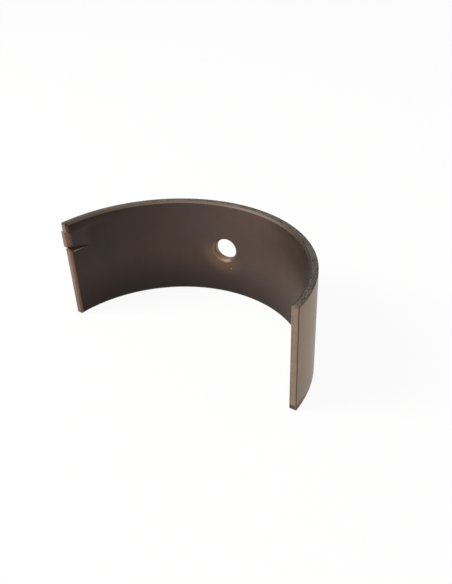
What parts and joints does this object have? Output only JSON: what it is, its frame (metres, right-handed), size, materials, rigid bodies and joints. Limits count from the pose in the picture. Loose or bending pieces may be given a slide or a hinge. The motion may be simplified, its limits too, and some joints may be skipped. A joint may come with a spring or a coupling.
{
  "type": "engine bearing shell",
  "caption": "Half-round plain bearing shell with a locating tang, an oil hole and chamfered edges, made to line a split housing round a crankshaft journal.",
  "frame": {"origin": "on the axis of the free shell's bore, at mid width", "axes": "+Z along the shaft, up from the side face that it stands on; +Y towards the crown; -Y out of the joint faces; the tang is at the -X end, near the upper side face"},
  "size_m": [0.0531, 0.0251, 0.0204],
  "materials": {
    "bearing_metal": "satin steel back with a dark brown-grey bearing lining in the bore"
  },
  "bodies": {
    "root": {"bearing_shell": "bearing_metal"}
  },
  "joints": []
}
